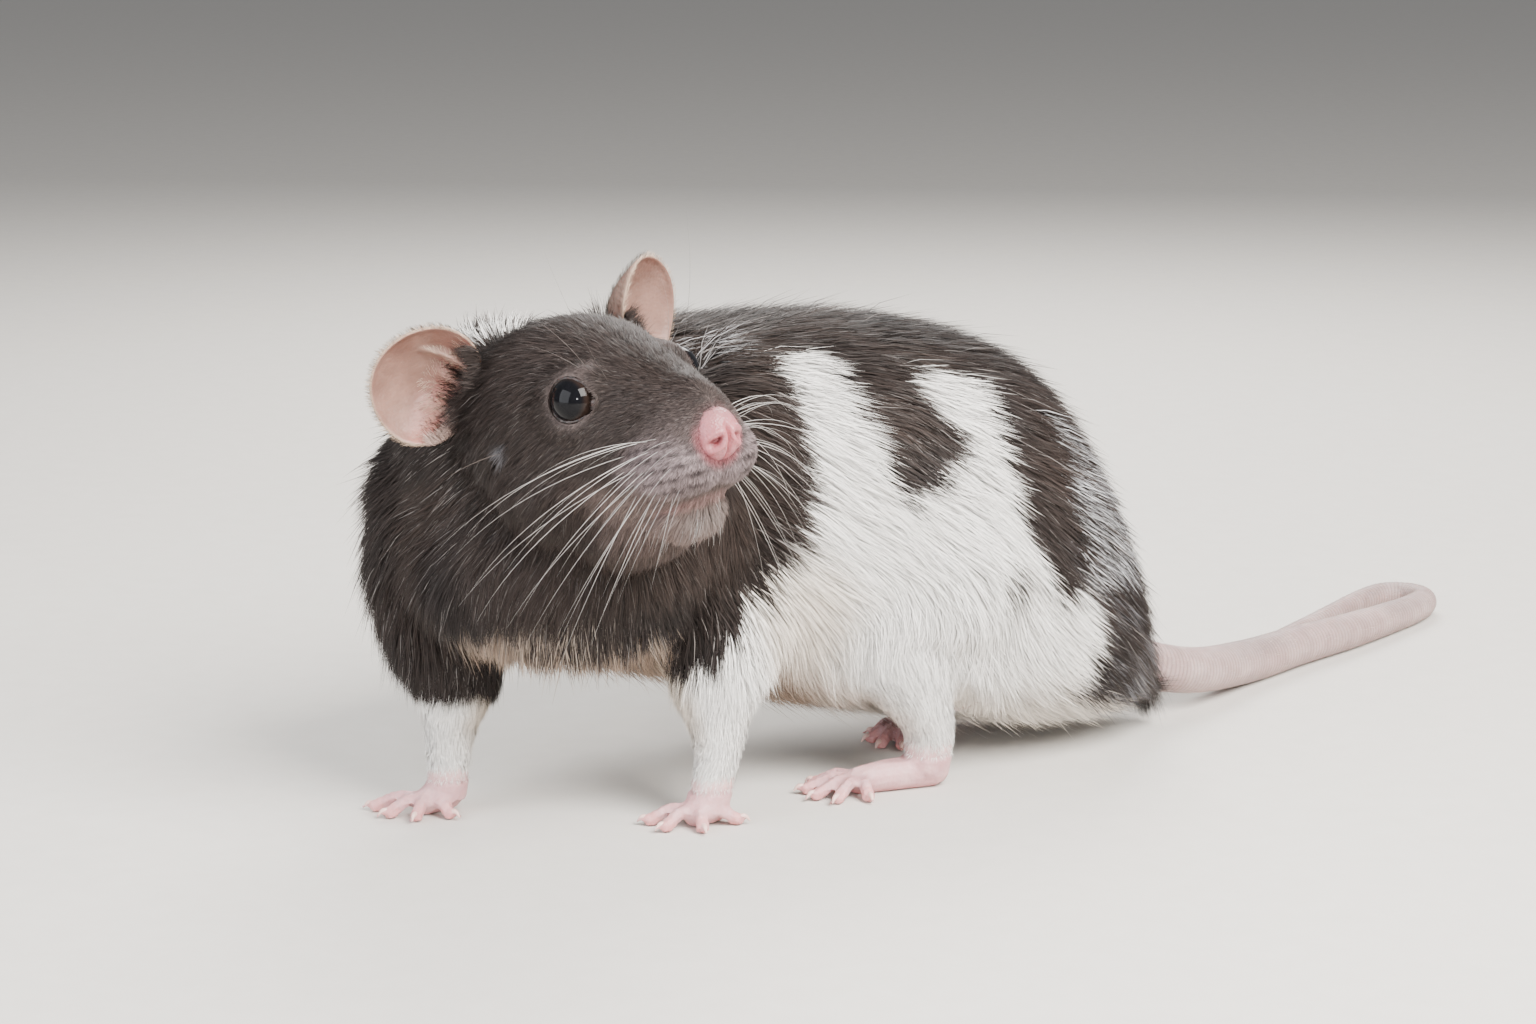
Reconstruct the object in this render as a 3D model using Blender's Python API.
"""Pet rat, a still life-size model of a hooded rat that stands on four feet and turns its head to its left.

The frame: +Z up, the floor at z = 0, the origin on the floor under the middle of the bounding box. The chest
faces -Y and the rump and tail lie towards +X and +Y.
All lengths in this file are millimetres; each node's mesh is turned into metres at the end.
"""

import math
from typing import NamedTuple

import bmesh
import bpy
import numpy as np
from mathutils import Matrix, Vector

METRES_PER_MM = 0.001
SIDES = (("left", 1.0), ("right", -1.0))
GAP = 0.3  # clearance kept between two nodes that meet
UP = Vector((0.0, 0.0, 1.0))
FAR = 120.0

# Head: length from the nape joint to the nose tip, and how the head is turned on the neck.
HEAD_LENGTH = 52.0
HEAD_YAW = math.radians(-52.0)
HEAD_PITCH = math.radians(7.0)
HEAD_ROLL = math.radians(8.0)
NAPE = Vector((-38.1, 5.3, 66.7))

# Eyes, in the head's own frame: x to the nose, y to the rat's left, z to the crown.
EYE_RADIUS = 3.8
EYE_PLACE = Vector((28.0, 9.7, 7.5))
EYE_LOOKS = Vector((0.34, 0.90, 0.22))
EYE_OPENING = 3.35  # radius of the opening between the lids, where they touch the eye
LID_RADIUS = 0.8
LID_RING = 3.75  # radius of the ring that the lids make
LID_FLARE = 0.35  # how fast the opening widens outwards

# Ears, in the head's own frame.
EAR_REACH = 15.6
EAR_WIDTH = 20.0
EAR_THICKNESS = 1.1
EAR_CUP = 5.2
EAR_LEAN = 0.5  # how much deeper the cup is towards its root
EAR_SIDES = 24
EAR_ROOT = Vector((3.6, 14.8, 8.2))
EAR_POINTS = Vector((-0.30, 0.76, 0.57))
EAR_FACES = Vector((0.82, 0.42, -0.15))
EAR_LIFT = {"left": Vector((4.3, 3.0, 2.2)), "right": Vector((0.0, 0.0, 0.0))}  # the left ear is raised
EAR_BASE = (4.6, 5.0, 5.6)  # radii of the fleshy base behind an ear
EAR_HOLLOW = ((6.5, 26.0, 13.5), (7.5, 10.5, 9.5))  # the fold behind the left cheek: its centre and radii

# Rings of the ear cup from its middle to the rim and back: share of the reach, and 1 on the outer skin.
EAR_RINGS = ((0.25, 0), (0.5, 0), (0.75, 0), (0.94, 0), (1.0, 0.5), (0.95, 1), (0.7, 1), (0.3, 1))

# Nose, mouth and jaw, in the head's own frame.
NOSE_PLACE = Vector((HEAD_LENGTH - 2.6, 0.0, 0.3))
NOSE_RADII = (3.5, 4.1, 4.6)
NOSTRIL_PLACE = Vector((HEAD_LENGTH - 0.4, 2.0, -0.6))
NOSTRIL_RADII = (1.5, 0.55, 0.85)
GROOVE_HALF_WIDTH = 0.35  # the groove from the nose down to the cleft of the lip
MOUTH_FRONT = Vector((49.0, 0.0, -9.0))
MOUTH_CORNER = Vector((36.5, 0.0, -12.0))
JAW_DEPTH = 20.0  # how far the cut that frees the jaw reaches down
JAW_HALF_WIDTH = 14.0

# Feet and claws.
ANKLE_CUT = 5.2
TOE_RADIUS = 1.25
CLAW_RADIUS = 0.5
CLAW_LENGTH = 1.3
SOLE_SINK = 0.3  # how much of each toe's round underside is worn flat
TOE_ARCH = 1.1  # how far the middle of a toe stands above its ends

# The tail's path is sampled evenly, and its lengths meet at some of the samples.
TAIL_SAMPLES = 81
TAIL_JOINTS = (0, 24, 50, 64, 80)
TAIL_SIDES = 12
TAIL_STEPS = (3, 2, 1, 2)  # samples from ring to ring in each length, fewest in the bend

# Size of the grid on which overlapping forms melt into one skin.
BODY_GRID = 1.2
HEAD_GRID = 0.7
FOOT_GRID = 0.32

BELLY_FULLNESS = 0.86

# Triangles of the whole body before it is parted, how strongly the face keeps its own, and those of a foot.
BODY_TRIANGLES = 6400
FACE_WEIGHT = 0.6
FACE_HOLD = 0.35
FOOT_TRIANGLES = 500

# The cut that parts the head: how far forward, to the left and up each of its corners lies.
HEAD_CUT = (
    (-15.8, 19.5, 43.0),
    (5.5, 19.5, -9.0),
    (12.0, 9.0, -25.0),
    (26.0, 9.0, -22.5),
    (30.0, 19.5, -9.0),
    (60.0, 6.0, -8.5),
    (80.0, 6.0, 43.0),
)
HEAD_CUT_RIGHT = -60.0


class Section(NamedTuple):
    """An upright cross-section of the trunk: where it stands, its lowest and highest level, its half width
    and the level where it is widest."""

    x: float
    y: float
    low: float
    high: float
    half_width: float
    widest: float


class Slice(NamedTuple):
    """A cross-section of the head, square to the head's own x axis."""

    x: float
    z: float
    half_width: float
    half_up: float
    half_down: float


class Bar(NamedTuple):
    """A point of a tube's path and its radius there."""

    x: float
    y: float
    z: float
    radius: float


class Limb(NamedTuple):
    """A leg: its path from inside the body down to the wrist or ankle, and the centre and radii of the egg
    that parts it from the trunk."""

    name: str
    path: tuple
    egg: tuple
    egg_radii: tuple


class Foot(NamedTuple):
    """A foot: its heel and the root of its toes on the floor, and each toe's tip."""

    name: str
    heel: tuple
    knuckles: tuple
    tips: tuple
    sole_radius: float


class Look(NamedTuple):
    """A finish: colour as linear values, and roughness."""

    colour: tuple
    roughness: float


TRUNK = (
    Section(69.5, 67.0, 5.6, 15.4, 4.9, 10.5),
    Section(66.0, 65.6, 5.6, 23.0, 10.5, 13.0),
    Section(61.5, 63.8, 5.0, 39.0, 17.5, 19.0),
    Section(55.0, 61.2, 4.4, 54.5, 23.0, 24.0),
    Section(45.0, 57.5, 4.4, 68.5, 28.0, 29.0),
    Section(30.0, 52.5, 6.2, 76.5, 31.0, 34.0),
    Section(10.0, 46.5, 9.8, 80.4, 31.5, 39.0),
    Section(-8.0, 38.5, 14.2, 81.0, 31.0, 43.0),
    Section(-22.0, 28.0, 19.5, 81.4, 30.0, 46.0),
    Section(-30.5, 16.5, 24.0, 81.0, 31.0, 50.0),
    Section(-34.5, 5.0, 29.0, 77.0, 27.0, 52.0),
    Section(-36.0, -4.0, 33.0, 68.0, 21.0, 50.0),
    Section(-36.6, -9.5, 39.0, 60.0, 12.0, 49.0),
)

SKULL = (
    Slice(-8.0, -1.0, 9.0, 9.0, 10.0),
    Slice(-3.0, 0.0, 14.0, 14.5, 15.0),
    Slice(6.0, 0.5, 16.6, 17.3, 17.0),
    Slice(15.0, 0.5, 17.2, 18.2, 18.0),
    Slice(23.0, 0.0, 15.8, 17.6, 17.4),
    Slice(31.0, -0.8, 12.8, 15.4, 15.6),
    Slice(38.0, -1.2, 10.0, 12.8, 13.2),
    Slice(44.0, -1.0, 8.2, 9.8, 8.4),
    Slice(48.5, -0.5, 6.0, 6.6, 5.6),
    Slice(HEAD_LENGTH - 1.4, 0.0, 3.4, 3.8, 3.8),
    Slice(HEAD_LENGTH - 0.4, 0.1, 1.5, 1.5, 1.5),
)

FORELEGS = (
    Limb(
        "foreleg_left",
        (
            Bar(-16.0, 18.0, 52.0, 14.0),
            Bar(-11.5, 14.0, 40.0, 13.5),
            Bar(-9.0, 9.0, 30.0, 10.5),
            Bar(-8.8, 6.5, 22.0, 7.4),
            Bar(-8.2, 4.0, 13.5, 4.7),
            Bar(-9.2, 2.6, 7.0, 4.0),
            Bar(-10.4, 1.8, 2.6, 3.7),
        ),
        (-6.0, 5.0, 15.0),
        (19.0, 19.0, 24.0),
    ),
    Limb(
        "foreleg_right",
        (
            Bar(-50.0, 20.0, 54.0, 15.0),
            Bar(-54.5, 17.0, 42.0, 14.5),
            Bar(-53.5, 13.0, 31.0, 12.0),
            Bar(-52.8, 11.5, 23.5, 8.6),
            Bar(-53.6, 9.6, 14.5, 4.9),
            Bar(-54.0, 8.8, 7.0, 4.0),
            Bar(-54.6, 8.4, 2.6, 3.7),
        ),
        (-57.0, 9.0, 16.0),
        (20.0, 19.0, 24.0),
    ),
)

HIND_LEGS = (
    Limb(
        "hindleg_left",
        (
            Bar(36.0, 38.0, 42.0, 17.0),
            Bar(26.0, 33.0, 34.0, 17.0),
            Bar(21.5, 28.0, 26.0, 13.5),
            Bar(25.0, 24.0, 17.5, 7.2),
            Bar(27.8, 24.0, 11.0, 4.9),
            Bar(27.6, 24.2, 6.0, 4.6),
            Bar(26.6, 24.0, 2.8, 4.0),
        ),
        (23.0, 21.0, 14.0),
        (20.0, 19.0, 25.0),
    ),
    Limb(
        "hindleg_right",
        (
            Bar(27.0, 61.0, 42.0, 17.0),
            Bar(17.0, 64.0, 34.0, 16.5),
            Bar(13.0, 64.5, 26.0, 12.5),
            Bar(22.5, 64.5, 16.5, 7.0),
            Bar(29.2, 64.8, 10.5, 4.9),
            Bar(30.0, 64.6, 6.0, 4.5),
            Bar(29.2, 63.4, 2.8, 4.0),
        ),
        (20.5, 71.0, 12.0),
        (20.5, 18.0, 25.0),
    ),
)

FEET = (
    Foot(
        "forepaw_left",
        (-9.4, 2.8),
        (-12.0, 0.2),
        ((-19.6, 0.4), (-16.8, -3.2), (-10.8, -3.9), (-5.2, 0.8)),
        3.3,
    ),
    Foot(
        "forepaw_right",
        (-54.6, 10.2),
        (-57.6, 7.0),
        ((-66.2, 8.4), (-63.4, 4.4), (-58.8, 2.6), (-53.4, 4.0)),
        3.3,
    ),
    Foot(
        "hindfoot_left",
        (28.4, 24.4),
        (15.5, 19.2),
        ((8.4, 22.6), (6.6, 18.4), (8.4, 14.8), (12.0, 12.8), (17.2, 13.8)),
        3.4,
    ),
    Foot(
        "hindfoot_right",
        (31.6, 65.0),
        (24.4, 53.8),
        ((19.8, 54.4), (18.8, 50.4), (20.4, 46.8), (24.0, 45.6), (28.4, 47.4)),
        3.4,
    ),
)

TAIL = (
    Bar(60.0, 63.0, 14.0, 4.0),
    Bar(66.0, 65.2, 12.2, 4.6),
    Bar(72.5, 69.0, 9.4, 4.5),
    Bar(81.5, 78.5, 6.4, 4.3),
    Bar(93.0, 94.0, 4.2, 4.2),
    Bar(104.5, 107.5, 3.8, 3.9),
    Bar(116.5, 120.5, 3.4, 3.6),
    Bar(128.0, 134.5, 3.0, 3.2),
    Bar(134.5, 143.5, 2.8, 3.0),
    Bar(137.2, 150.4, 2.6, 2.8),
    Bar(135.2, 156.2, 2.4, 2.6),
    Bar(129.6, 156.8, 2.3, 2.5),
    Bar(123.4, 150.4, 2.1, 2.3),
    Bar(114.5, 138.0, 1.8, 2.0),
    Bar(105.0, 125.0, 1.5, 1.7),
    Bar(96.0, 113.5, 1.2, 1.4),
    Bar(88.5, 104.0, 0.9, 1.1),
)

LOOKS = {
    "head": Look((0.060, 0.046, 0.040, 1.0), 0.8),
    "jaw": Look((0.42, 0.33, 0.29, 1.0), 0.8),
    "nose": Look((0.66, 0.34, 0.31, 1.0), 0.45),
    "neck": Look((0.040, 0.032, 0.029, 1.0), 0.8),
    "torso": Look((0.68, 0.65, 0.61, 1.0), 0.8),
    "ear": Look((0.52, 0.33, 0.28, 1.0), 0.6),
    "eye": Look((0.006, 0.006, 0.007, 1.0), 0.06),
    "foreleg": Look((0.66, 0.60, 0.56, 1.0), 0.8),
    "hindleg": Look((0.66, 0.60, 0.56, 1.0), 0.8),
    "forepaw": Look((0.62, 0.38, 0.36, 1.0), 0.55),
    "hindfoot": Look((0.62, 0.38, 0.36, 1.0), 0.55),
    "tail": Look((0.50, 0.38, 0.34, 1.0), 0.6),
}


def clear_scene():
    """Removes whatever the file opened with."""
    for obj in list(bpy.data.objects):
        bpy.data.objects.remove(obj)


def head_frame():
    """The matrix that carries the head's own frame into the model's."""
    turn = (
        Matrix.Rotation(HEAD_YAW, 4, "Z")
        @ Matrix.Rotation(-HEAD_PITCH, 4, "Y")
        @ Matrix.Rotation(HEAD_ROLL, 4, "X")
    )
    return Matrix.Translation(NAPE) @ turn


def spline(rows, count):
    """Resamples rows of numbers along a Catmull-Rom curve, evenly by the length of their first three columns."""
    rows = np.array(rows, float)
    ends = np.vstack([2 * rows[0] - rows[1], rows, 2 * rows[-1] - rows[-2]])
    t = np.linspace(0, 1, 24, endpoint=False)[:, None]
    fine = []
    for a, b, c, d in zip(ends, ends[1:], ends[2:], ends[3:]):
        bend = (2 * a - 5 * b + 4 * c - d) * t**2 + (3 * b - a - 3 * c + d) * t**3
        fine.append(b + 0.5 * ((c - a) * t + bend))
    fine = np.vstack([*fine, rows[-1:]])
    steps = np.linalg.norm(np.diff(fine[:, :3], axis=0), axis=1)
    along = np.concatenate([[0.0], np.cumsum(steps)])
    wanted = np.linspace(0, along[-1], count)
    return np.column_stack([np.interp(wanted, along, column) for column in fine.T])


def new_object(name, bm):
    """Turns a bmesh into an object in the scene."""
    mesh = bpy.data.meshes.new(name)
    bm.to_mesh(mesh)
    bm.free()
    obj = bpy.data.objects.new(name, mesh)
    bpy.context.scene.collection.objects.link(obj)
    return obj


def loft(name, rings):
    """A closed body through rings of points, capped at both ends."""
    bm = bmesh.new()
    loops = [[bm.verts.new(point) for point in ring] for ring in rings]
    sides = len(loops[0])
    for low, high in zip(loops, loops[1:]):
        for i in range(sides):
            j = (i + 1) % sides
            bm.faces.new((low[i], low[j], high[j], high[i]))
    bm.faces.new(loops[0][::-1])
    bm.faces.new(loops[-1])
    bmesh.ops.recalc_face_normals(bm, faces=bm.faces)
    return new_object(name, bm)


def oval(centre, side, top, half_width, half_up, half_down, count, fullness=1.0):
    """A ring of points round centre; side and top are its two unit directions, and a fullness under 1 fills
    out its lower corners."""
    ring = []
    for i in range(count):
        angle = 2 * math.pi * (i + 0.5) / count
        across, rise = math.cos(angle), math.sin(angle)
        if rise < 0:
            across = math.copysign(abs(across) ** fullness, across)
            rise = -(abs(rise) ** fullness)
        half_height = half_up if rise > 0 else half_down
        ring.append(centre + side * (half_width * across) + top * (half_height * rise))
    return ring


def way_along(path, i):
    """The unit direction of a path at one of its points."""
    last = len(path) - 1
    return (Vector(path[min(i + 1, last)][:3]) - Vector(path[max(i - 1, 0)][:3])).normalized()


def tube_rings(path, sides, top=UP, grow=0.0):
    """Round rings square to a path, one at each of its points."""
    rings = []
    for i, row in enumerate(path):
        ahead = way_along(path, i)
        side = top.cross(ahead).normalized()
        radius = row[3] + grow
        rings.append(oval(Vector(row[:3]), side, ahead.cross(side), radius, radius, radius, sides))
    return rings


def tube(name, bars, count, sides, top=UP, grow=0.0):
    """A closed tube of round sections through some bars."""
    return loft(name, tube_rings(spline(bars, count), sides, top, grow))


def ellipsoid(name, centre, radii, turn=None, segments=24, grow=0.0):
    """A closed ellipsoid; turn is the matrix that carries its own frame into the model's."""
    bm = bmesh.new()
    bmesh.ops.create_uvsphere(bm, u_segments=segments, v_segments=segments // 2, radius=1.0)
    sizes = [radius + grow for radius in radii]
    place = Matrix.Translation(Vector(centre)) @ Matrix.Diagonal((*sizes, 1.0))
    bm.transform((turn or Matrix.Identity(4)) @ place)
    return new_object(name, bm)


def hull(name, points, turn=None):
    """The smallest convex body round some points of a frame."""
    bm = bmesh.new()
    for point in points:
        bm.verts.new(point)
    bmesh.ops.convex_hull(bm, input=bm.verts)
    bm.transform(turn or Matrix.Identity(4))
    bmesh.ops.recalc_face_normals(bm, faces=bm.faces)
    return new_object(name, bm)


def block(name, low, high, turn=None):
    """A box between two corners of its own frame."""
    corners = [(x, y, z) for x in (low[0], high[0]) for y in (low[1], high[1]) for z in (low[2], high[2])]
    return hull(name, corners, turn)


def apply_modifiers(obj):
    """Replaces the object's mesh by what its modifiers make of it."""
    graph = bpy.context.evaluated_depsgraph_get()
    mesh = bpy.data.meshes.new_from_object(obj.evaluated_get(graph))
    obj.modifiers.clear()
    obj.data = mesh
    return obj


def joined(name, objects):
    """One object that holds the meshes of several, which are removed."""
    bm = bmesh.new()
    for obj in objects:
        bm.from_mesh(obj.data)
        bpy.data.objects.remove(obj)
    return new_object(name, bm)


def copy_of(obj, name):
    """A copy of an object with a mesh of its own."""
    bm = bmesh.new()
    bm.from_mesh(obj.data)
    return new_object(name, bm)


def fused(name, shells, voxel, passes, soft=None, soft_passes=0):
    """Melts overlapping closed shells into one skin and softens the creases between them; where soft gives a
    vertex a weight, it is softened for more passes."""
    obj = joined(name, shells)
    remesh = obj.modifiers.new("fuse", "REMESH")
    remesh.mode = "VOXEL"
    remesh.voxel_size = voxel
    soften = obj.modifiers.new("soften", "SMOOTH")
    soften.factor = 0.5
    soften.iterations = passes
    apply_modifiers(obj)
    if soft:
        group = obj.vertex_groups.new(name="soft")
        for vertex in obj.data.vertices:
            group.add([vertex.index], soft(vertex.co), "REPLACE")
        soften = obj.modifiers.new("soften_more", "SMOOTH")
        soften.factor = 0.5
        soften.iterations = soft_passes
        soften.vertex_group = group.name
        apply_modifiers(obj)
        obj.vertex_groups.clear()
    return obj


def triangle_count(obj):
    """How many triangles the object's faces make."""
    return sum(len(face.vertices) - 2 for face in obj.data.polygons)


def thin_out(obj, triangles, keep=None):
    """Brings a mesh down to about this many triangles; keep gives a weight to each vertex that holds it back."""
    decimate = obj.modifiers.new("thin_out", "DECIMATE")
    decimate.ratio = min(1.0, triangles / triangle_count(obj))
    decimate.use_collapse_triangulate = True
    if keep:
        group = obj.vertex_groups.new(name="keep")
        for vertex in obj.data.vertices:
            group.add([vertex.index], keep(vertex.co), "REPLACE")
        decimate.vertex_group = group.name
        decimate.invert_vertex_group = True
        decimate.vertex_group_factor = FACE_HOLD
    apply_modifiers(obj)
    obj.vertex_groups.clear()
    return obj


def combine(obj, other, operation):
    """Adds, cuts away or keeps what is common with another closed body."""
    boolean = obj.modifiers.new("boolean", "BOOLEAN")
    boolean.operation = operation
    boolean.object = other
    boolean.solver = "EXACT"
    apply_modifiers(obj)
    bpy.data.objects.remove(other)
    return obj


def connected(bm):
    """The groups of vertices that edges join."""
    left = set(bm.verts)
    groups = []
    while left:
        stack = [left.pop()]
        found = set(stack)
        while stack:
            for edge in stack.pop().link_edges:
                for vert in edge.verts:
                    if vert in left:
                        left.discard(vert)
                        found.add(vert)
                        stack.append(vert)
        groups.append(found)
    return groups


def tidy(obj):
    """Joins points that coincide, splits faces into triangles and keeps only the largest closed surface."""
    bm = bmesh.new()
    bm.from_mesh(obj.data)
    bmesh.ops.remove_doubles(bm, verts=bm.verts, dist=0.002)
    bmesh.ops.dissolve_degenerate(bm, edges=bm.edges, dist=0.002)
    bmesh.ops.triangulate(bm, faces=bm.faces)
    groups = connected(bm)
    best = max(groups, key=len)
    bmesh.ops.delete(bm, geom=[vert for vert in bm.verts if vert not in best], context="VERTS")
    bmesh.ops.recalc_face_normals(bm, faces=bm.faces)
    bm.to_mesh(obj.data)
    bm.free()
    return obj


def part_off(body, name, region):
    """Takes the region out of the body as a node of its own and leaves the gap between the two."""
    piece = combine(copy_of(body, name), region(0.0), "INTERSECT")
    combine(body, region(GAP), "DIFFERENCE")
    tidy(body)
    return tidy(piece)


def ear_axes(side_name, side):
    """Where an ear is rooted, the way it points and the way its cup faces, in the head's own frame."""
    points = Vector((EAR_POINTS.x, EAR_POINTS.y * side, EAR_POINTS.z)).normalized()
    faces = Vector((EAR_FACES.x, EAR_FACES.y * side, EAR_FACES.z))
    faces = (faces - points * faces.dot(points)).normalized()
    root = EAR_ROOT + EAR_LIFT[side_name]
    return Vector((root.x, root.y * side, root.z)), points, faces


def head_forms(frame):
    """The head's masses as overlapping closed shells."""
    rings = []
    for row in spline([(s.x, 0.0, s.z, s.half_width, s.half_up, s.half_down) for s in SKULL], 36):
        rings.append(oval(Vector(row[:3]), Vector((0, 1, 0)), UP, *row[3:6], 40))
    skull = loft("skull", rings)
    skull.data.transform(frame)
    forms = [
        skull,
        ellipsoid("chin", (38.2, 0.0, -11.6), (7.8, 6.6, 5.7), frame),
        ellipsoid("throat", (22.0, 0.0, -11.5), (14.5, 11.5, 11.0), frame),
        ellipsoid("nose_bridge", (41.0, 0.0, 4.2), (9.5, 5.0, 5.8), frame),
        ellipsoid("nose_pad", NOSE_PLACE, (3.0, 3.7, 4.1), frame),
    ]
    for side_name, side in SIDES:
        root, points, faces = ear_axes(side_name, side)
        forms += [
            ellipsoid("cheek", (17.0, 9.0 * side, -6.0), (12.0, 9.5, 10.5), frame),
            ellipsoid("brow", (27.0, 7.0 * side, 8.6), (8.0, 4.8, 4.8), frame),
            ellipsoid("whisker_pad", (42.4, 4.4 * side, -3.6), (8.0, 5.4, 5.9), frame),
            ellipsoid("upper_lip", (46.3, 2.5 * side, -5.2), (4.2, 3.3, 3.3), frame),
            ellipsoid("ear_base", root - faces * 4.6 - points * 3.0, EAR_BASE, frame),
        ]
    return forms


def eye_turn(side, frame):
    """The matrix of a frame in the middle of an eye, its z axis the way the eye looks."""
    place = Vector((EYE_PLACE.x, EYE_PLACE.y * side, EYE_PLACE.z))
    looks = Vector((EYE_LOOKS.x, EYE_LOOKS.y * side, EYE_LOOKS.z))
    return frame @ Matrix.Translation(place) @ looks.to_track_quat("Z", "Y").to_matrix().to_4x4()


def lids(frame):
    """A soft rim round each eye, upper and lower lid in one."""
    rims = []
    level = math.sqrt((EYE_RADIUS + LID_RADIUS / 2) ** 2 - LID_RING**2)
    for side_name, side in SIDES:
        rows = []
        for i in range(17):
            angle = 2 * math.pi * i / 16
            rows.append(Bar(LID_RING * math.cos(angle), LID_RING * math.sin(angle), level, LID_RADIUS))
        rim = tube("lid_" + side_name, rows, 40, 10)
        rim.data.transform(eye_turn(side, frame))
        rims.append(rim)
    return rims


def lid_opening(side, frame):
    """The opening between the lids, as a cutter that flares outwards."""
    low = math.sqrt((EYE_RADIUS + GAP) ** 2 - EYE_OPENING**2)
    high = 2.5 * EYE_RADIUS
    wide = EYE_OPENING + LID_FLARE * (high - low)
    cutter = tube("opening", [Bar(0.0, 0.0, low, EYE_OPENING), Bar(0.0, 0.0, high, wide)], 2, 20, Vector((0, 1, 0)))
    cutter.data.transform(eye_turn(side, frame))
    return cutter


def trunk_shell():
    """The trunk as a loft of upright sections along the bent spine."""
    path = spline([(s.x, s.y, 0.0, s.low, s.high, s.half_width, s.widest) for s in TRUNK], 60)
    rings = []
    for i, row in enumerate(path):
        ahead = Vector(path[min(i + 1, 59)][:3]) - Vector(path[max(i - 1, 0)][:3])
        side = UP.cross(ahead).normalized()
        low, high, half_width, widest = row[3:7]
        centre = Vector((row[0], row[1], widest))
        rings.append(oval(centre, side, UP, half_width, high - widest, widest - low, 44, BELLY_FULLNESS))
    return loft("trunk", rings)


def chest_forms(frame):
    """Neck, throat and shoulders."""
    return [
        ellipsoid("neck", (-7.0, 0.0, -2.0), (17.0, 19.0, 20.5), frame),
        ellipsoid("throat_root", (8.0, 0.0, -14.0), (15.0, 15.0, 12.0), frame),
        ellipsoid("shoulder_right", (-53.0, 18.0, 50.0), (15.0, 16.0, 20.0)),
        ellipsoid("shoulder_left", (-15.0, 17.0, 50.0), (15.0, 16.0, 20.0)),
        ellipsoid("breast", (-34.0, -1.0, 44.0), (25.0, 14.0, 15.0)),
    ]


def limb_shell(limb, grow=0.0, first=0, count=22, sides=24):
    """A leg as one tapering tube."""
    return tube(limb.name + "_tube", limb.path[first:], count, sides, Vector((0.0, 1.0, 0.0)), grow)


def body_whole(frame):
    """The whole animal but feet, ears, eyes and tail, as one skin."""
    shells = [trunk_shell()]
    shells += chest_forms(frame)
    shells += [limb_shell(limb) for limb in FORELEGS + HIND_LEGS]
    shells = [fused("body", shells, BODY_GRID, 8, lambda point: min(1.0, max(0.0, (point.z - 22.0) / 14.0)), 60)]
    combine(shells[0], ellipsoid("hollow", *EAR_HOLLOW, frame), "DIFFERENCE")
    shells += head_forms(frame)
    shells += lids(frame)
    body = fused("torso", shells, HEAD_GRID, 7)
    to_head = frame.inverted()

    def keep(point):
        """Full weight on the face, none on the trunk."""
        place = to_head @ point
        return FACE_WEIGHT if place.x > 22.0 and abs(place.y) < 18.0 and abs(place.z) < 20.0 else 0.0

    return thin_out(body, BODY_TRIANGLES, keep)


def head_region(frame):
    """The head is cut off behind the ears and under the throat, and on the left where it lies near the flank."""

    def region(grow):
        shift = Vector((-grow, 0.0, -grow)) * 1.15
        corners = []
        for x, left, z in HEAD_CUT:
            corners.append(Vector((x, left + grow, z)) + shift)
            corners.append(Vector((x, HEAD_CUT_RIGHT, z)) + shift)
        return hull("region", corners, frame)

    return region


def neck_region(frame):
    """The neck is the ball of flesh between head and chest."""
    return lambda grow: ellipsoid("region", (1.0, 0.0, -6.0), (20.0, 23.0, 22.0), frame, 20, grow)


def limb_region(limb):
    """A leg is cut out of the body by an egg round its lower half, which meets the trunk steeply."""
    return lambda grow: ellipsoid("region", limb.egg, limb.egg_radii, None, 20, grow)


def floor_block(level=0.0):
    """All that lies under a level."""
    return block("floor", (-FAR, -FAR, -FAR), (2 * FAR, 2 * FAR, level))


def nose_region(frame):
    """The nose pad is an egg-shaped piece at the tip of the muzzle."""
    return lambda grow: ellipsoid("region", NOSE_PLACE, NOSE_RADII, frame, 16, grow)


def nostrils(frame):
    """The two nostrils and the groove between them, as cutters."""
    cuts = []
    for side in (1.0, -1.0):
        place = Vector((NOSTRIL_PLACE.x, NOSTRIL_PLACE.y * side, NOSTRIL_PLACE.z))
        turn = frame @ Matrix.Translation(place) @ Matrix.Rotation(math.radians(-28.0 * side), 4, "X")
        cuts.append(ellipsoid("nostril", (0.0, 0.0, 0.0), NOSTRIL_RADII, turn, 10))
    place = (HEAD_LENGTH + 0.3, 0.0, -2.8)
    cuts.append(ellipsoid("groove", place, (1.1, GROOVE_HALF_WIDTH, 2.6), frame, 10))
    return cuts


def lip_groove(frame):
    """The cleft of the upper lip, as a cutter."""
    return ellipsoid("groove", (HEAD_LENGTH - 2.4, 0.0, -6.2), (2.6, GROOVE_HALF_WIDTH, 2.8), frame, 12)


def jaw_region(frame):
    """The lower jaw lies under the line of the mouth."""
    ahead = MOUTH_FRONT - MOUTH_CORNER

    def region(grow):
        back = MOUTH_CORNER + Vector((-grow, 0.0, grow))
        front = MOUTH_FRONT + ahead * 0.5 + Vector((0.0, 0.0, grow))
        corners = []
        for y in (-JAW_HALF_WIDTH, JAW_HALF_WIDTH):
            for point in (back, front, back + Vector((-9.0, 0.0, -JAW_DEPTH)), front - UP * JAW_DEPTH):
                corners.append(point + Vector((0.0, y, 0.0)))
        return hull("region", corners, frame)

    return region


def eye_ball(name, side, frame, segments, grow=0.0):
    """An eyeball, or with some growth its socket."""
    return ellipsoid(name, (0.0, 0.0, 0.0), (EYE_RADIUS,) * 3, eye_turn(side, frame), segments, grow)


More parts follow.
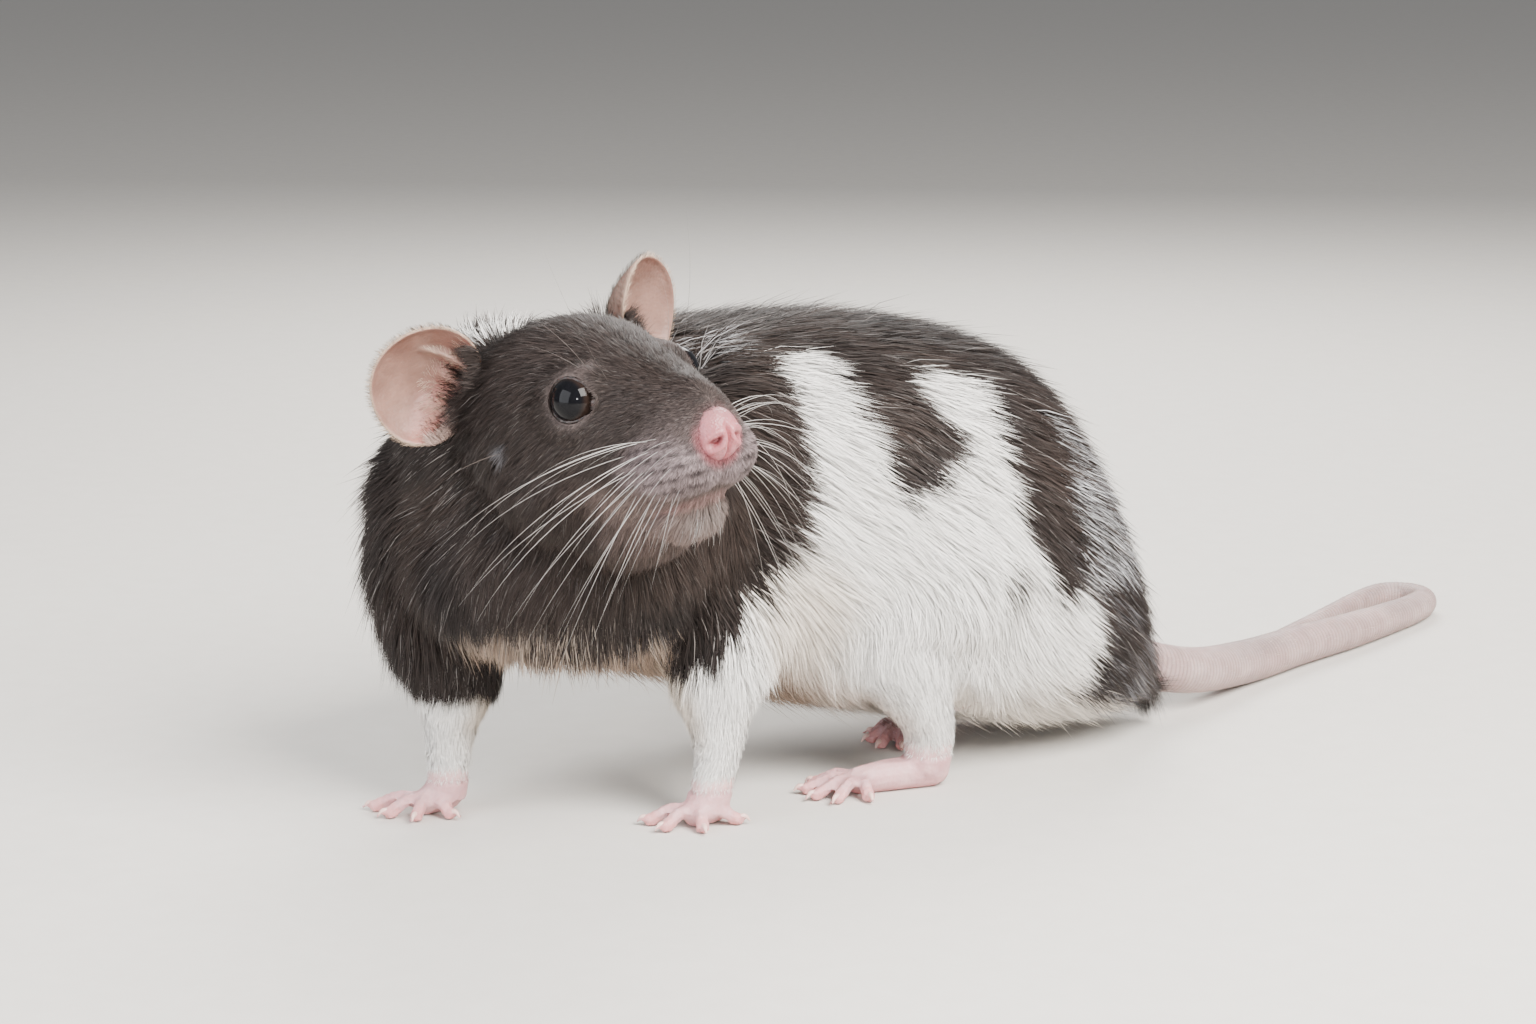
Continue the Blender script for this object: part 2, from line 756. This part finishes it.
def ear(side_name, side, frame):
    """An ear: a thin cup with a rolled rim, its root sunk into the head."""
    root, points, faces = ear_axes(side_name, side)
    across = points.cross(faces)
    centre = root + points * (EAR_REACH / 2 - 1.0)
    rings = []
    for share, back in EAR_RINGS:
        ring = []
        for i in range(EAR_SIDES):
            angle = 2 * math.pi * i / EAR_SIDES
            reach = (EAR_REACH / 2 + 1.0) * share * math.cos(angle)
            width = EAR_WIDTH / 2 * share * math.sin(angle) * (1 - 0.10 * math.cos(angle))
            hollow = (1 - share**2) * (1 - EAR_LEAN * share * math.cos(angle))
            depth = EAR_CUP * hollow + EAR_THICKNESS * back
            ring.append(centre + points * reach + across * width - faces * depth)
        rings.append(ring)
    cup = loft("ear_" + side_name, rings)
    cup.data.transform(frame)
    return cup


def sole_shells(spec):
    """The flat of a foot from the heel to the root of the toes."""
    heel = Vector((*spec.heel, 0.0))
    knuckles = Vector((*spec.knuckles, 0.0))
    rows = []
    for share in (0.0, 0.35, 0.7, 1.0):
        radius = spec.sole_radius * (1 - 0.25 * share)
        spot = heel.lerp(knuckles, share)
        rows.append(Bar(spot.x, spot.y, radius - SOLE_SINK, radius))
    ends = [ellipsoid("sole_end", row[:3], (row.radius,) * 3, None, 16) for row in (rows[0], rows[-1])]
    return [tube("sole", rows, 8, 14), *ends]


def toe_shells(root, tip):
    """A toe, bent up in the middle, and its claw."""
    middle = root.lerp(tip, 0.5) + UP * TOE_ARCH
    toe = tube("toe", [Bar(*root, TOE_RADIUS * 1.15), Bar(*middle, TOE_RADIUS), Bar(*tip, TOE_RADIUS)], 9, 12)
    pad = ellipsoid("toe_tip", tip, (TOE_RADIUS * 1.12,) * 3, None, 14)
    point = Vector((tip.x - middle.x, tip.y - middle.y, 0.0)).normalized()
    start = tip + point * (TOE_RADIUS * 0.4) + UP * 0.35
    end = tip + point * (TOE_RADIUS + CLAW_LENGTH) - UP * (TOE_RADIUS - SOLE_SINK - 0.45)
    knee = start.lerp(end, 0.55) + UP * 0.5
    rows = [Bar(*start, CLAW_RADIUS * 1.3), Bar(*knee, CLAW_RADIUS * 1.05), Bar(*end, CLAW_RADIUS * 0.6)]
    return [toe, pad, tube("claw", rows, 6, 8)]


def foot(spec, limb):
    """A foot: heel, sole and toes with their claws, flat where they stand, and the ankle that meets the leg."""
    shells = [limb_shell(limb, 0.0, 3), *sole_shells(spec)]
    ahead = Vector((spec.knuckles[0] - spec.heel[0], spec.knuckles[1] - spec.heel[1], 0.0)).normalized()
    across = ahead.cross(UP)
    for i, tip in enumerate(spec.tips):
        spread = (i / (len(spec.tips) - 1) - 0.5) * spec.sole_radius * 0.9
        root = Vector((*spec.knuckles, spec.sole_radius * 0.75 - SOLE_SINK)) - across * spread
        shells += toe_shells(root, Vector((*tip, TOE_RADIUS - SOLE_SINK)))
    whole = fused(spec.name, shells, FOOT_GRID, 2)
    thin_out(whole, FOOT_TRIANGLES)
    combine(whole, floor_block(ANKLE_CUT), "INTERSECT")
    combine(whole, floor_block(), "DIFFERENCE")
    return tidy(whole)


def tail_pieces():
    """The tail in lengths, each cut square to its path and worn flat along the floor."""
    path = spline(TAIL, TAIL_SAMPLES)
    rings = tube_rings(path, TAIL_SIDES)
    pieces = []
    for k, (first, last) in enumerate(zip(TAIL_JOINTS, TAIL_JOINTS[1:])):
        own = rings[first : last + 1 : TAIL_STEPS[k]]
        if k:
            shift = way_along(path, first) * GAP
            own[0] = [point + shift for point in own[0]]
        piece = loft("tail_%d" % (k + 1), own)
        combine(piece, floor_block(), "DIFFERENCE")
        pieces.append(tidy(piece))
    return pieces


def grown(obj, distance):
    """A copy of a body with its surface moved out."""
    copy = copy_of(obj, obj.name + "_grown")
    displace = copy.modifiers.new("grow", "DISPLACE")
    displace.strength = distance
    displace.mid_level = 0.0
    return apply_modifiers(copy)


def dress(obj):
    """Gives a node a material of its own."""
    look = LOOKS[obj.name.split("_")[0]]
    material = bpy.data.materials.new(obj.name)
    material.use_nodes = True
    shader = material.node_tree.nodes["Principled BSDF"]
    shader.inputs["Base Color"].default_value = look.colour
    shader.inputs["Roughness"].default_value = look.roughness
    obj.data.materials.clear()
    obj.data.materials.append(material)


def settle(nodes):
    """Turns millimetres into metres and centres the model over the origin."""
    corners = np.array([vertex.co for node in nodes for vertex in node.data.vertices])
    middle = (corners.min(axis=0) + corners.max(axis=0)) / 2
    place = Matrix.Scale(METRES_PER_MM, 4) @ Matrix.Translation((-middle[0], -middle[1], 0.0))
    for node in nodes:
        node.data.transform(place)
        node.data.update()


def body_nodes(frame):
    """Head, neck, trunk, legs and feet: the body is modelled whole and then parted."""
    torso = body_whole(frame)
    head = part_off(torso, "head", head_region(frame))
    neck = part_off(torso, "neck", neck_region(frame))
    legs = []
    for limb, spec in zip(FORELEGS + HIND_LEGS, FEET):
        leg = part_off(torso, limb.name, limb_region(limb))
        combine(leg, floor_block(ANKLE_CUT + GAP), "DIFFERENCE")
        legs += [tidy(leg), foot(spec, limb)]
    return head, neck, torso, legs


def face_nodes(head, neck, torso, frame):
    """Nose, jaw, eyes and ears, each with its place cut into what carries it."""
    nose = part_off(head, "nose", nose_region(frame))
    for cut in nostrils(frame):
        combine(nose, cut, "DIFFERENCE")
    combine(head, lip_groove(frame), "DIFFERENCE")
    nodes = [tidy(nose), part_off(head, "jaw", jaw_region(frame))]
    for side_name, side in SIDES:
        combine(head, eye_ball("socket", side, frame, 16, GAP), "DIFFERENCE")
        combine(head, lid_opening(side, frame), "DIFFERENCE")
        cup = ear(side_name, side, frame)
        for body in (head, neck, torso):
            combine(body, grown(cup, GAP), "DIFFERENCE")
        nodes += [eye_ball("eye_" + side_name, side, frame, 14), tidy(cup)]
    for body in (head, neck, torso):
        tidy(body)
    return nodes


def main():
    """Builds every node."""
    clear_scene()
    frame = head_frame()
    head, neck, torso, legs = body_nodes(frame)
    nodes = [head, neck, torso, *legs, *face_nodes(head, neck, torso, frame)]
    tail = tail_pieces()
    combine(tail[0], grown(torso, GAP), "DIFFERENCE")
    tidy(tail[0])
    nodes += tail
    for node in nodes:
        dress(node)
    settle(nodes)


if __name__ == "__main__":
    main()
